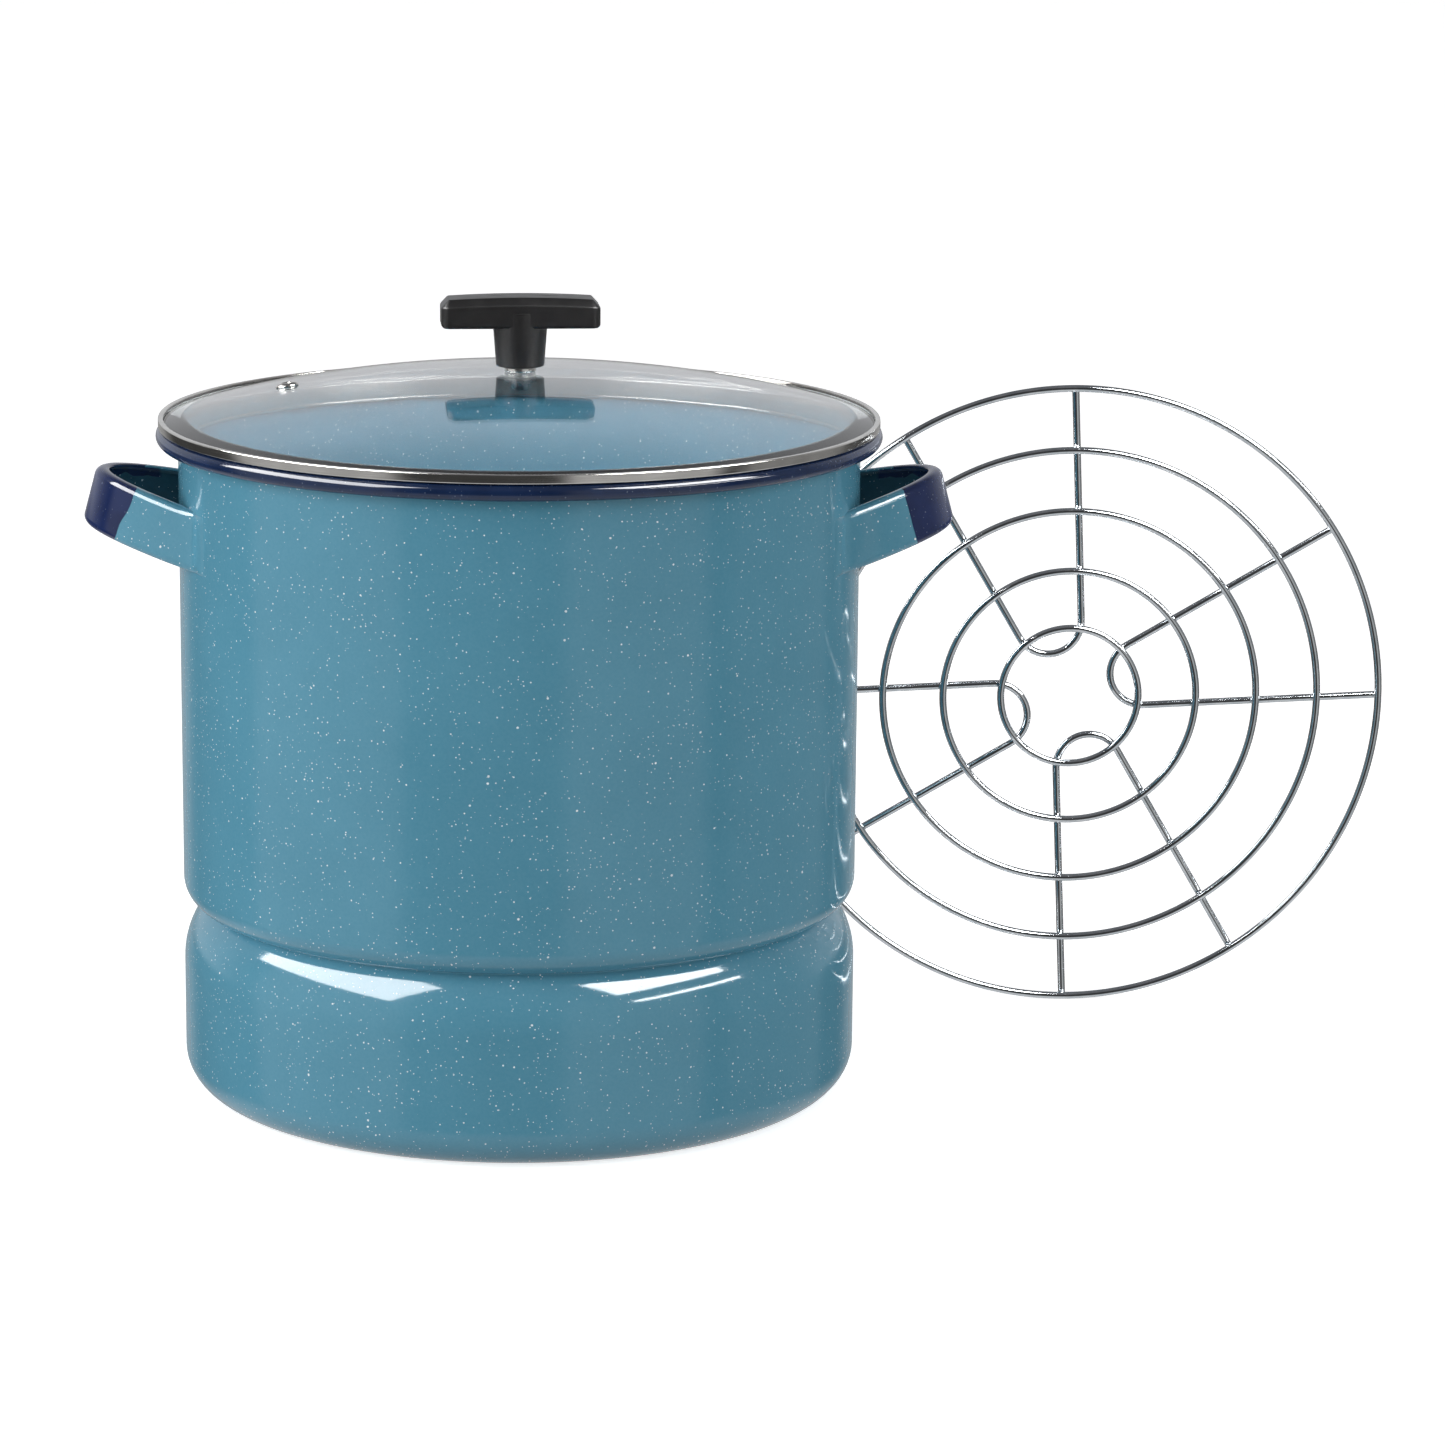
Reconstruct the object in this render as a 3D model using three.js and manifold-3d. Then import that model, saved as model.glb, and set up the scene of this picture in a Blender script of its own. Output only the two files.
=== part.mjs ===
// Enamelled steel steamer stock pot with a domed glass lid and a loose wire steaming rack.
// Millimetres, +Z up. The origin is the middle of the pot's flat base, on the surface it stands on.
// The loop handles point along +X and -X. The rack stands on its edge behind the pot, on the +X side.

import * as THREE from 'three';
import { mergeVertices } from 'three/addons/utils/BufferGeometryUtils.js';
import Module from 'manifold-3d';

const wasm = await Module();
wasm.setup();

// ---------------------------------------------------------------- driving dimensions

const gap = 0.3; // clearance between pieces that touch
const roundSides = 56; // flats round the pot, the lid and the largest wire ring

// pot shell: one drawn sheet, from the base to the rolled edge
const potRadius = 140; // outside of the straight wall
const potHeight = 277.7; // floor to the top of the rolled edge
const potWall = 1.2; // steel with its enamel
const baseCornerRadius = 17.3;
const grooveHeight = 79; // floor to the bottom of the groove that makes the rack's ledge
const grooveDepth = 10; // how far the groove comes in from the wall
const bulgeRadius = 10.5; // rounding above the groove
const shoulderRadius = 34; // rounding below the groove
const rimOverhang = 9; // how far the rolled edge stands out from the wall
const rimRoll = 6.6; // height of the roll
const rimFlare = 3.5; // radius where the wall turns out into the roll
const rimCurlEnd = -120; // degrees round the roll at which the sheet ends

// strap handles
const strapWidth = 24;
const strapSheet = 1.8;
const strapCurl = 2.4; // how far the long edges are turned in
const strapFlat = 17; // width of the flat between the turned edges
const handleSpread = 98; // distance between the two feet of one handle
const handleReach = 45.5; // foot to the far end of the loop, along the loop
const handleTilt = 15; // degrees that the loop rises outwards
const handleDrop = 40.7; // top of the rolled edge down to the middle of a foot
const footPad = 12; // length of strap welded flat to the wall
const footBlend = 12; // length over which the pad turns into the shaped strap

// lid band: folded stainless sheet
const bandStepIn = 1; // how much smaller the band is than the rolled edge
const bandHeight = 3.8;
const bandSheet = 0.5;
const bandLip = 2.2; // how far the band laps in before it turns down to the glass
const bandCorner = 0.6; // rounding of the band's outer edges
const skirtDepth = 9.3; // how far the band reaches down into the pot
const skirtClearance = 0.9; // radial play between the skirt and the wall
const sealThickness = 0.5;

// glass
const glassThickness = 3.2;
const glassEdgeDrop = 1.9; // top of the band down to the edge of the glass
const domeRise = 19.6; // edge of the glass to its crown

// steam vent
const ventRadius = 97; // distance of the vent from the lid's middle
const ventDirection = 171.5; // degrees round from +X
const ventFlangeRadius = 4.75;
const ventTubeRadius = 2.6;
const ventBoreRadius = 1.8;
const ventFlangeHeight = 1.3;
const ventFlareRadius = 4.2;
const ventFlareHeight = 0.8;
const ventGasketThickness = 0.8;

// knob and its fixing
const knobLength = 65;
const knobDepth = 21;
const knobBarHeight = 12.6;
const knobBarCorner = 3.6; // rounding of the bar's upright corners
const knobTopBevel = 3;
const knobBottomBevel = 0.9;
const knobArch = 1.1; // how much lower the bar's ends are than its middle
const knobTurn = 3; // degrees that the bar is turned from the line of the handles
const stemHeight = 16.4;
const stemTopRadius = 11.1;
const stemFootRadius = 9.9;
const stemFootBevel = 0.8;
const screwRadius = 2;
const screwHeadRadius = 4;
const screwHeadHeight = 3;
const screwSlotWidth = 1;
const screwSlotDepth = 1.4;
const screwPlay = 0.4; // radial play round the screw in everything that it passes through
const washerRadius = 6.5;
const upperWasherThickness = 1.9;
const lowerWasherThickness = 1;
const gasketRadius = 7;
const gasketThickness = 1;
const insertRadius = 4.2;
const insertLength = 13;
const screwEndClearance = 1; // from the end of the screw to the end of the insert

// steaming rack
const rackWire = 3.2;
const rackPlay = 0.4; // radial play between the rack and the pot's wall
const rackRings = 5;
const rackInnerRing = 30.4;
const rackRingSpread = 1.03; // above 1, the rings lie further apart towards the edge
const rackHairpins = 4;
const hairpinTurn = 16.5; // degrees of the first hairpin's axis round from +X
const hairpinEndAngle = 16.5; // degrees between a hairpin's axis and each of its ends
const hairpinLoopRadius = 14.5;
const hairpinLoopCentre = 34; // distance of the loop's centre from the rack's middle
const rackBehind = 117; // distance of the standing rack behind the pot's middle
const rackStandClearance = 9.3; // space between the standing rack and the rolled edge

// ---------------------------------------------------------------- sizes that follow

const radians = THREE.MathUtils.degToRad;
const potBore = potRadius - potWall;
const rimRadius = potRadius + rimOverhang;
const handleFootHeight = potHeight - handleDrop;

const bandRadius = rimRadius - bandStepIn;
const lidSeat = potHeight + gap;
const bandTop = lidSeat + bandHeight;
const bandInside = bandRadius - bandSheet;
const skirtRadius = potBore - skirtClearance;
const sealOuterRadius = bandInside - gap;
const sealInnerRadius = sealOuterRadius - sealThickness;

const glassRadius = sealInnerRadius - gap;
const glassSeat = lidSeat + bandSheet + gap;
const glassEdgeTop = bandTop - glassEdgeDrop;
const crownTop = glassEdgeTop + domeRise;
const domeRadius = (glassRadius ** 2 + domeRise ** 2) / (2 * domeRise);
const domeCentre = crownTop - domeRadius;
const domeInsideRadius = domeRadius - glassThickness;
const crownUnderside = crownTop - glassThickness;

const screwHoleRadius = screwRadius + screwPlay;
const upperWasherBottom = crownTop + gap;
const stemFoot = upperWasherBottom + upperWasherThickness + gap;
const insertBottom = stemFoot + gap;
const insertTop = insertBottom + insertLength;
const gasketBottom = crownUnderside - gap - gasketThickness;
const lowerWasherBottom = gasketBottom - gap - lowerWasherThickness;
const screwHeadTop = lowerWasherBottom - gap;
const barBottom = stemFoot + stemHeight;

const rackOuterRing = potBore - rackPlay - rackWire / 2;
const rackRadius = rackOuterRing + rackWire / 2;
const rackFrontFace = rackBehind - rackWire / 2;
const rackSide = Math.sqrt(rimRadius ** 2 - rackFrontFace ** 2) + rackStandClearance + rackRadius;

// ---------------------------------------------------------------- materials

function paint(color, roughness, metalness) {
  return new THREE.MeshStandardMaterial({ color, roughness, metalness });
}

const turquoiseEnamel = () => paint(0x5b9cb6, 0.22, 0);
const steel = () => paint(0xb9babb, 0.2, 1);
const wireSteel = () => paint(0xaeb0b2, 0.22, 1);
const zincSteel = () => paint(0x9fa2a4, 0.35, 1);
const brass = () => paint(0xb08d4a, 0.35, 1);
const silicone = () => paint(0x6f7275, 0.7, 0);
const phenolic = () => paint(0x2a292b, 0.45, 0);

function clearGlass() {
  const material = paint(0xc9d3d6, 0.04, 0);
  material.transparent = true;
  material.opacity = 0.35;
  return material;
}

// ---------------------------------------------------------------- geometry helpers

// Points along an arc, from one angle to another in degrees.
function arc(centreX, centreY, radius, from, to, steps) {
  const points = [];
  for (let i = 0; i <= steps; i += 1) {
    const angle = radians(from + ((to - from) * i) / steps);
    points.push(new THREE.Vector2(centreX + radius * Math.cos(angle), centreY + radius * Math.sin(angle)));
  }
  return points;
}

function point(x, y) {
  return new THREE.Vector2(x, y);
}

// A ring or a disc turned about Z. The profile gives radius and height, anticlockwise.
function turned(profile, sides = roundSides) {
  const geometry = new THREE.LatheGeometry(profile, sides);
  geometry.rotateX(Math.PI / 2);
  return geometry;
}

// A ring with a rectangular section, turned about Z.
function turnedRing(innerRadius, outerRadius, bottom, top, sides = roundSides) {
  const profile = [
    point(innerRadius, bottom),
    point(outerRadius, bottom),
    point(outerRadius, top),
    point(innerRadius, top),
    point(innerRadius, bottom),
  ];
  return turned(profile, sides);
}

// A solid skin over rings of points, each with the same number of points, closed by a fan at each end.
function lofted(rings) {
  const count = rings[0].length;
  const vertices = rings.flat();
  const faces = [];
  for (let ring = 0; ring < rings.length - 1; ring += 1) {
    for (let i = 0; i < count; i += 1) {
      const next = (i + 1) % count;
      const low = ring * count;
      const high = low + count;
      faces.push(low + i, low + next, high + next);
      faces.push(low + i, high + next, high + i);
    }
  }
  const lastRing = (rings.length - 1) * count;
  const firstMiddle = vertices.length;
  vertices.push(middleOf(rings[0]));
  vertices.push(middleOf(rings[rings.length - 1]));
  for (let i = 0; i < count; i += 1) {
    const next = (i + 1) % count;
    faces.push(firstMiddle, next, i);
    faces.push(firstMiddle + 1, lastRing + i, lastRing + next);
  }
  const geometry = new THREE.BufferGeometry().setFromPoints(vertices);
  geometry.setIndex(faces);
  return geometry;
}

function middleOf(points) {
  const sum = new THREE.Vector3();
  points.forEach((each) => sum.add(each));
  return sum.divideScalar(points.length);
}

function toSolid(geometry) {
  const bare = geometry.clone();
  bare.deleteAttribute('normal');
  bare.deleteAttribute('uv');
  const welded = mergeVertices(bare, 1e-4);
  const mesh = new wasm.Mesh({
    numProp: 3,
    vertProperties: new Float32Array(welded.attributes.position.array),
    triVerts: new Uint32Array(welded.index.array),
  });
  return new wasm.Manifold(mesh);
}

function toGeometry(solid) {
  const mesh = solid.getMesh();
  const geometry = new THREE.BufferGeometry();
  geometry.setAttribute('position', new THREE.BufferAttribute(mesh.vertProperties, 3));
  geometry.setIndex(new THREE.BufferAttribute(mesh.triVerts, 1));
  return geometry;
}

function named(name, geometry, material) {
  const mesh = new THREE.Mesh(geometry, material);
  mesh.name = name;
  return mesh;
}

// ---------------------------------------------------------------- pot shell

// One side of the sheet: inset is 0 for the outside and potWall for the inside.
function shellSide(inset) {
  const bulgeAngle = THREE.MathUtils.radToDeg(Math.acos(1 - grooveDepth / bulgeRadius));
  const shoulderAngle = THREE.MathUtils.radToDeg(Math.acos(1 - grooveDepth / shoulderRadius));
  const bulgeCentre = grooveHeight + bulgeRadius * Math.sin(radians(bulgeAngle));
  const shoulderCentre = grooveHeight - shoulderRadius * Math.sin(radians(shoulderAngle));
  const flareCentre = potHeight - potWall - rimFlare;
  const rollRadius = rimRoll / 2;
  const insideGroove = inset > 0 ? [point(potRadius - grooveDepth - inset, grooveHeight)] : [];
  return [
    point(0, inset),
    ...arc(potRadius - baseCornerRadius, baseCornerRadius, baseCornerRadius - inset, -90, 0, 3),
    ...arc(potRadius - shoulderRadius, shoulderCentre, shoulderRadius - inset, 0, shoulderAngle, 3),
    ...insideGroove,
    ...arc(potRadius - bulgeRadius, bulgeCentre, bulgeRadius - inset, -bulgeAngle, 0, 3),
    ...arc(potRadius + rimFlare, flareCentre, rimFlare + inset, 180, 90, 2),
    ...arc(
      rimRadius - rollRadius,
      potHeight - rollRadius,
      rollRadius - potWall + inset,
      90,
      rimCurlEnd,
      7,
    ),
  ];
}

function potBody() {
  const profile = [...shellSide(0), ...shellSide(potWall).reverse()];
  return named('pot_body', turned(profile), turquoiseEnamel());
}

// ---------------------------------------------------------------- strap handles

// The strap's middle line on its inner face: pad on the wall, then a parabola out and back.
function strapPath() {
  const padRadius = potRadius + gap;
  const halfSpread = handleSpread / 2;
  const footAngle = Math.asin(halfSpread / padRadius);
  const footX = padRadius * Math.cos(footAngle);
  const points = [];
  for (const along of [footPad, footPad / 2, footPad / 6]) {
    const angle = footAngle + along / padRadius;
    points.push(new THREE.Vector3(padRadius * Math.cos(angle), -padRadius * Math.sin(angle), handleFootHeight));
  }
  for (const part of [0.035, 0.1, 0.2, 0.3, 0.4]) {
    const reach = handleReach * 4 * part * (1 - part);
    const x = footX + reach * Math.cos(radians(handleTilt));
    const z = handleFootHeight + reach * Math.sin(radians(handleTilt));
    points.push(new THREE.Vector3(x, -halfSpread * (1 - 2 * part), z));
  }
  const farX = footX + handleReach * Math.cos(radians(handleTilt));
  const farZ = handleFootHeight + handleReach * Math.sin(radians(handleTilt));
  const otherHalf = points.map((each) => new THREE.Vector3(each.x, -each.y, each.z)).reverse();
  return new THREE.CatmullRomCurve3([...points, new THREE.Vector3(farX, 0, farZ), ...otherHalf]);
}

// Section of the strap: (outward, across), with its long edges turned in by curl.
function strapSection(curl) {
  const edge = strapWidth / 2;
  const flat = strapFlat / 2;
  const bend = flat + (edge - flat) * 0.7;
  const bendCurl = curl * 0.45;
  return [
    point(-bendCurl, -bend),
    point(0, -flat),
    point(0, flat),
    point(-bendCurl, bend),
    point(-curl, edge),
    point(strapSheet - curl, edge),
    point(strapSheet - bendCurl, bend),
    point(strapSheet, flat),
    point(strapSheet, -flat),
    point(strapSheet - bendCurl, -bend),
    point(strapSheet - curl, -edge),
    point(-curl, -edge),
  ];
}

function strapHandle(name, direction) {
  const path = strapPath();
  const length = path.getLength();
  const stations = 32;
  const upright = new THREE.Vector3(0, 0, 1);
  const tilted = new THREE.Vector3(-Math.sin(radians(handleTilt)), 0, Math.cos(radians(handleTilt)));
  const rings = [];
  for (let i = 0; i <= stations; i += 1) {
    const centre = path.getPointAt(i / stations);
    const along = path.getTangentAt(i / stations);
    const fromEnd = length * Math.min(i / stations, 1 - i / stations);
    const shaped = THREE.MathUtils.smoothstep(fromEnd, footPad, footPad + footBlend);
    const across = upright.clone().lerp(tilted, shaped);
    const outward = along.clone().cross(across).normalize();
    across.copy(outward).cross(along).normalize();
    const ring = strapSection(strapCurl * shaped).map((corner) =>
      centre.clone().addScaledVector(outward, corner.x).addScaledVector(across, corner.y),
    );
    rings.push(ring);
  }
  const geometry = lofted(rings);
  geometry.rotateZ(direction);
  return named(name, geometry, turquoiseEnamel());
}

// ---------------------------------------------------------------- lid

function glassHeight(radius) {
  return domeCentre + Math.sqrt(domeRadius ** 2 - radius ** 2);
}

function glassUnderside(radius) {
  return domeCentre + Math.sqrt(domeInsideRadius ** 2 - radius ** 2);
}

// The steam vent's frame: its origin is on top of the glass and +Z points out along the dome's normal.
function ventFrame() {
  const angle = radians(ventDirection);
  const place = new THREE.Vector3(
    ventRadius * Math.cos(angle),
    ventRadius * Math.sin(angle),
    glassHeight(ventRadius),
  );
  const normal = place.clone().sub(new THREE.Vector3(0, 0, domeCentre)).normalize();
  const turn = new THREE.Quaternion().setFromUnitVectors(new THREE.Vector3(0, 0, 1), normal);
  return new THREE.Matrix4().compose(place, turn, new THREE.Vector3(1, 1, 1));
}

function lidGlass() {
  const seatInner = Math.sqrt(domeInsideRadius ** 2 - (glassSeat - domeCentre) ** 2);
  const steps = 6;
  const profile = [];
  for (let i = 0; i <= steps; i += 1) {
    const radius = screwHoleRadius + ((seatInner - screwHoleRadius) * i) / steps;
    profile.push(point(radius, glassUnderside(radius)));
  }
  for (let i = steps; i >= 0; i -= 1) {
    const radius = screwHoleRadius + ((glassRadius - screwHoleRadius) * i) / steps;
    if (i === steps) {
      profile.push(point(radius, glassSeat));
    }
    profile.push(point(radius, glassHeight(radius)));
  }
  profile.push(profile[0].clone());
  const drill = turned(
    [
      point(0, -3 * glassThickness),
      point(ventTubeRadius + gap, -3 * glassThickness),
      point(ventTubeRadius + gap, 3 * glassThickness),
      point(0, 3 * glassThickness),
    ],
    16,
  );
  drill.applyMatrix4(ventFrame());
  const pierced = toSolid(turned(profile)).subtract(toSolid(drill));
  return named('lid_glass', toGeometry(pierced), clearGlass());
}

// The skirt hangs inside the pot, the ledge carries the glass and the lip turns down on to its edge.
function lidBand() {
  const skirtBottom = lidSeat - skirtDepth;
  const lipRadius = bandRadius - bandLip;
  const lipBottom = glassHeight(lipRadius) + gap;
  const profile = [
    point(skirtRadius - bandSheet, skirtBottom),
    point(skirtRadius, skirtBottom),
    point(skirtRadius, lidSeat),
    point(bandRadius - bandCorner, lidSeat),
    point(bandRadius, lidSeat + bandCorner),
    point(bandRadius, bandTop - bandCorner),
    point(bandRadius - bandCorner, bandTop),
    point(lipRadius + bandCorner, bandTop),
    point(lipRadius, bandTop - bandCorner),
    point(lipRadius, lipBottom),
    point(lipRadius + bandSheet, lipBottom),
    point(lipRadius + bandSheet, bandTop - bandSheet),
    point(bandInside, bandTop - bandSheet),
    point(bandInside, lidSeat + bandSheet),
    point(skirtRadius - bandSheet, lidSeat + bandSheet),
    point(skirtRadius - bandSheet, skirtBottom),
  ];
  return named('lid_band', turned(profile), steel());
}

function lidSeal() {
  const ring = turnedRing(sealInnerRadius, sealOuterRadius, glassSeat, bandTop - bandSheet - gap);
  return named('lid_seal', ring, silicone());
}

// ---------------------------------------------------------------- steam vent

// A tubular rivet: flange on the glass, tube through it, flare under the gasket.
function ventEyelet() {
  const flareTop = -glassThickness - gap - ventGasketThickness - gap;
  const flareBottom = flareTop - ventFlareHeight;
  const flangeTop = gap + ventFlangeHeight;
  const profile = [
    point(ventBoreRadius, flareBottom),
    point(ventFlareRadius, flareBottom),
    point(ventFlareRadius, flareTop),
    point(ventTubeRadius, flareTop),
    point(ventTubeRadius, gap),
    point(ventFlangeRadius, gap),
    point(ventFlangeRadius, gap + ventFlangeHeight * 0.4),
    point(ventFlangeRadius - 1, flangeTop),
    point(ventBoreRadius + 0.5, flangeTop),
    point(ventBoreRadius, flangeTop - 0.5),
    point(ventBoreRadius, flareBottom),
  ];
  const geometry = turned(profile, 20);
  geometry.applyMatrix4(ventFrame());
  return named('vent_eyelet', geometry, steel());
}

function ventGasket() {
  const top = -glassThickness - gap;
  const geometry = turnedRing(ventTubeRadius + gap, ventFlareRadius, top - ventGasketThickness, top, 20);
  geometry.applyMatrix4(ventFrame());
  return named('vent_gasket', geometry, silicone());
}

// ---------------------------------------------------------------- knob and its fixing

// Outline of the knob's bar at one level, drawn in from its full size by inset.
function barOutline(inset, height) {
  const corner = Math.max(knobBarCorner - inset, 0.5);
  const halfLength = knobLength / 2 - inset - corner;
  const halfDepth = knobDepth / 2 - inset - corner;
  const side = (direction) =>
    [0.5, 0, -0.5].map((part) => point(direction * part * halfLength, direction * (halfDepth + corner)));
  const outline = [
    ...arc(halfLength, halfDepth, corner, 0, 90, 3),
    ...side(1),
    ...arc(-halfLength, halfDepth, corner, 90, 180, 3),
    ...arc(-halfLength, -halfDepth, corner, 180, 270, 3),
    ...side(-1),
    ...arc(halfLength, -halfDepth, corner, 270, 360, 3),
  ];
  return outline.map((each) => new THREE.Vector3(each.x, each.y, height(each.x)));
}

function knobHandle() {
  const barTop = barBottom + knobBarHeight;
  const arched = (drop) => (x) => barTop - drop - knobArch * (x / (knobLength / 2)) ** 2;
  const level = (z) => () => z;
  const bar = lofted([
    barOutline(knobBottomBevel, level(barBottom)),
    barOutline(0, level(barBottom + knobBottomBevel)),
    barOutline(0, arched(knobTopBevel)),
    barOutline(knobTopBevel, arched(0)),
  ]);
  const stemTop = barBottom + knobBarHeight / 2;
  const stem = turned(
    [
      point(0, stemFoot),
      point(stemFootRadius - stemFootBevel, stemFoot),
      point(stemFootRadius, stemFoot + stemFootBevel),
      point(stemTopRadius, barBottom),
      point(stemTopRadius, stemTop),
      point(0, stemTop),
    ],
    32,
  );
  const bore = turned(
    [
      point(0, stemFoot - 1),
      point(insertRadius + gap, stemFoot - 1),
      point(insertRadius + gap, insertTop + gap),
      point(0, insertTop + gap),
    ],
    20,
  );
  const moulding = toSolid(bar).add(toSolid(stem)).subtract(toSolid(bore));
  const geometry = toGeometry(moulding);
  geometry.rotateZ(radians(knobTurn));
  return named('knob', geometry, phenolic());
}

function knobInsert() {
  return named('knob_insert', turnedRing(screwHoleRadius, insertRadius, insertBottom, insertTop, 20), brass());
}

function knobScrew() {
  const headBottom = screwHeadTop - screwHeadHeight;
  const shankTop = insertTop - screwEndClearance;
  const body = turned(
    [
      point(0, headBottom),
      point(screwHeadRadius * 0.65, headBottom),
      point(screwHeadRadius * 0.93, headBottom + screwHeadHeight * 0.35),
      point(screwHeadRadius, screwHeadTop),
      point(screwRadius, screwHeadTop),
      point(screwRadius, shankTop),
      point(0, shankTop),
    ],
    16,
  );
  let screw = toSolid(body);
  for (const turn of [0, Math.PI / 2]) {
    const slot = new THREE.BoxGeometry(screwHeadRadius, screwSlotWidth, 2 * screwSlotDepth);
    slot.rotateZ(turn);
    slot.translate(0, 0, headBottom);
    screw = screw.subtract(toSolid(slot));
  }
  return named('knob_screw', toGeometry(screw), zincSteel());
}

function flatWasher(name, radius, bottom, thickness, material) {
  return named(name, turnedRing(screwHoleRadius, radius, bottom, bottom + thickness, 24), material);
}

// ---------------------------------------------------------------- steaming rack

// The rack is made lying in X and Z about its own middle, with its rings in front of its hairpins.
function rackRing(number) {
  const share = ((number - 1) / (rackRings - 1)) ** rackRingSpread;
  const radius = rackInnerRing + (rackOuterRing - rackInnerRing) * share;
  const sides = 4 * Math.round((roundSides / 4) * Math.sqrt(radius / rackOuterRing));
  const geometry = new THREE.TorusGeometry(radius, rackWire / 2, 6, sides);
  geometry.rotateX(Math.PI / 2);
  return named(`rack_ring_${number}`, geometry, wireSteel());
}

// A hairpin's two legs run in from the outer ring and meet in a round loop near the middle.
function hairpinPath() {
  const endAcross = rackOuterRing * Math.sin(radians(hairpinEndAngle));
  const endAlong = rackOuterRing * Math.cos(radians(hairpinEndAngle));
  const fromLoop = Math.hypot(endAlong - hairpinLoopCentre, endAcross);
  const endBearing = Math.atan2(endAcross, endAlong - hairpinLoopCentre);
  const splay = endBearing - Math.asin(hairpinLoopRadius / fromLoop);
  const tangentAlong = hairpinLoopCentre - hairpinLoopRadius * Math.sin(splay);
  const tangentAcross = hairpinLoopRadius * Math.cos(splay);
  const loop = new THREE.CurvePath();
  const at = (along, across) => new THREE.Vector3(along, across, 0);
  loop.add(new THREE.LineCurve3(at(endAlong, endAcross), at(tangentAlong, tangentAcross)));
  const turnPoints = arc(
    hairpinLoopCentre,
    0,
    hairpinLoopRadius,
    90 + THREE.MathUtils.radToDeg(splay),
    270 - THREE.MathUtils.radToDeg(splay),
    12,
  );
  loop.add(new THREE.CatmullRomCurve3(turnPoints.map((each) => at(each.x, each.y))));
  loop.add(new THREE.LineCurve3(at(tangentAlong, -tangentAcross), at(endAlong, -endAcross)));
  return loop;
}

function wireSection() {
  const section = new THREE.Shape();
  const corners = arc(0, 0, rackWire / 2, 0, 300, 5);
  section.setFromPoints(corners);
  return section;
}

function rackHairpin(number) {
  const geometry = new THREE.ExtrudeGeometry(wireSection(), {
    steps: 28,
    curveSegments: 1,
    bevelEnabled: false,
    extrudePath: hairpinPath(),
  });
  geometry.rotateX(Math.PI / 2);
  geometry.rotateY(-radians(hairpinTurn + ((number - 1) * 360) / rackHairpins));
  geometry.translate(0, rackWire + gap, 0);
  return named(`rack_hairpin_${number}`, geometry, wireSteel());
}

// ---------------------------------------------------------------- assembly

const pot = new THREE.Group();
pot.add(potBody());
pot.add(strapHandle('handle_right', 0));
pot.add(strapHandle('handle_left', Math.PI));

const lid = new THREE.Group();
lid.add(lidGlass());
lid.add(lidBand());
lid.add(lidSeal());
lid.add(ventEyelet());
lid.add(ventGasket());
lid.add(knobHandle());
lid.add(knobInsert());
lid.add(knobScrew());
lid.add(flatWasher('knob_washer_upper', washerRadius, upperWasherBottom, upperWasherThickness, steel()));
lid.add(flatWasher('knob_gasket', gasketRadius, gasketBottom, gasketThickness, silicone()));
lid.add(flatWasher('knob_washer_lower', washerRadius, lowerWasherBottom, lowerWasherThickness, zincSteel()));

const rack = new THREE.Group();
for (let number = 1; number <= rackRings; number += 1) {
  rack.add(rackRing(number));
}
for (let number = 1; number <= rackHairpins; number += 1) {
  rack.add(rackHairpin(number));
}
rack.position.set(rackSide, rackBehind, rackRadius);

const steamer = new THREE.Group();
steamer.add(pot, lid, rack);

export default steamer;
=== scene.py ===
"""The looks of an enamelled steamer stock pot with a glass lid and a loose wire rack.

Metres, +Z up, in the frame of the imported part. The handles point along +X and -X.
"""

import math

import bmesh
import bpy
from mathutils import Euler, Matrix, Vector


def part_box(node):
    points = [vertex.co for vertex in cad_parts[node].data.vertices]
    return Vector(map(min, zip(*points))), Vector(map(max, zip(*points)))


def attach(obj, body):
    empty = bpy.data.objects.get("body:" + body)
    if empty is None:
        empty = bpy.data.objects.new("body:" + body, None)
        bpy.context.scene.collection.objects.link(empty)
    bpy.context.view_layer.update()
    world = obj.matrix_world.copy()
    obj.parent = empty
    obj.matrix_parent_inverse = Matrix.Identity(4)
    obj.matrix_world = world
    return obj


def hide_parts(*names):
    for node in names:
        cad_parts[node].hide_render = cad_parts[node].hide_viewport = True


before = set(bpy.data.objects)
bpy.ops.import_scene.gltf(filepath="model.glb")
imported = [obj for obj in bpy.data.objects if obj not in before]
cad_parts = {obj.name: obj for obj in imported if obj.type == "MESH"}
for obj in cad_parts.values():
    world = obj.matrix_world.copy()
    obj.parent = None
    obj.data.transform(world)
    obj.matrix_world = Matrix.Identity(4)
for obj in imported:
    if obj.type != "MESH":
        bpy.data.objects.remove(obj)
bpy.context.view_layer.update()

MM = 0.001
UP = Vector((0, 0, 1))
BACK = Vector((0, 1, 0))


# ---------------------------------------------------------------- sizes

rim_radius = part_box("pot_body")[1].x
pot_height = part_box("pot_body")[1].z
rim_overhang = 9 * MM
wall_radius = rim_radius - rim_overhang
wall_sheet = 1.2 * MM
base_corner = 17.3 * MM
groove_height = 79 * MM
groove_depth = 10 * MM
groove_fillet = 0.5 * MM
bulge_radius = 10.5 * MM
shoulder_radius = 34 * MM
rim_flare = 3.5 * MM
rim_roll = 3.3 * MM
rim_curl_end = -120

strap_sheet = 1.8 * MM
strap_half_width = 12 * MM
strap_corner = 3.4 * MM
strap_lip = 2.4 * MM
strap_spread = 98 * MM
strap_reach = 45.5 * MM
strap_tilt = math.radians(15)
strap_height = pot_height - 40.7 * MM
strap_pad = 12 * MM
strap_blend = 12 * MM
strap_seat = wall_radius - 0.3 * MM

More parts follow.
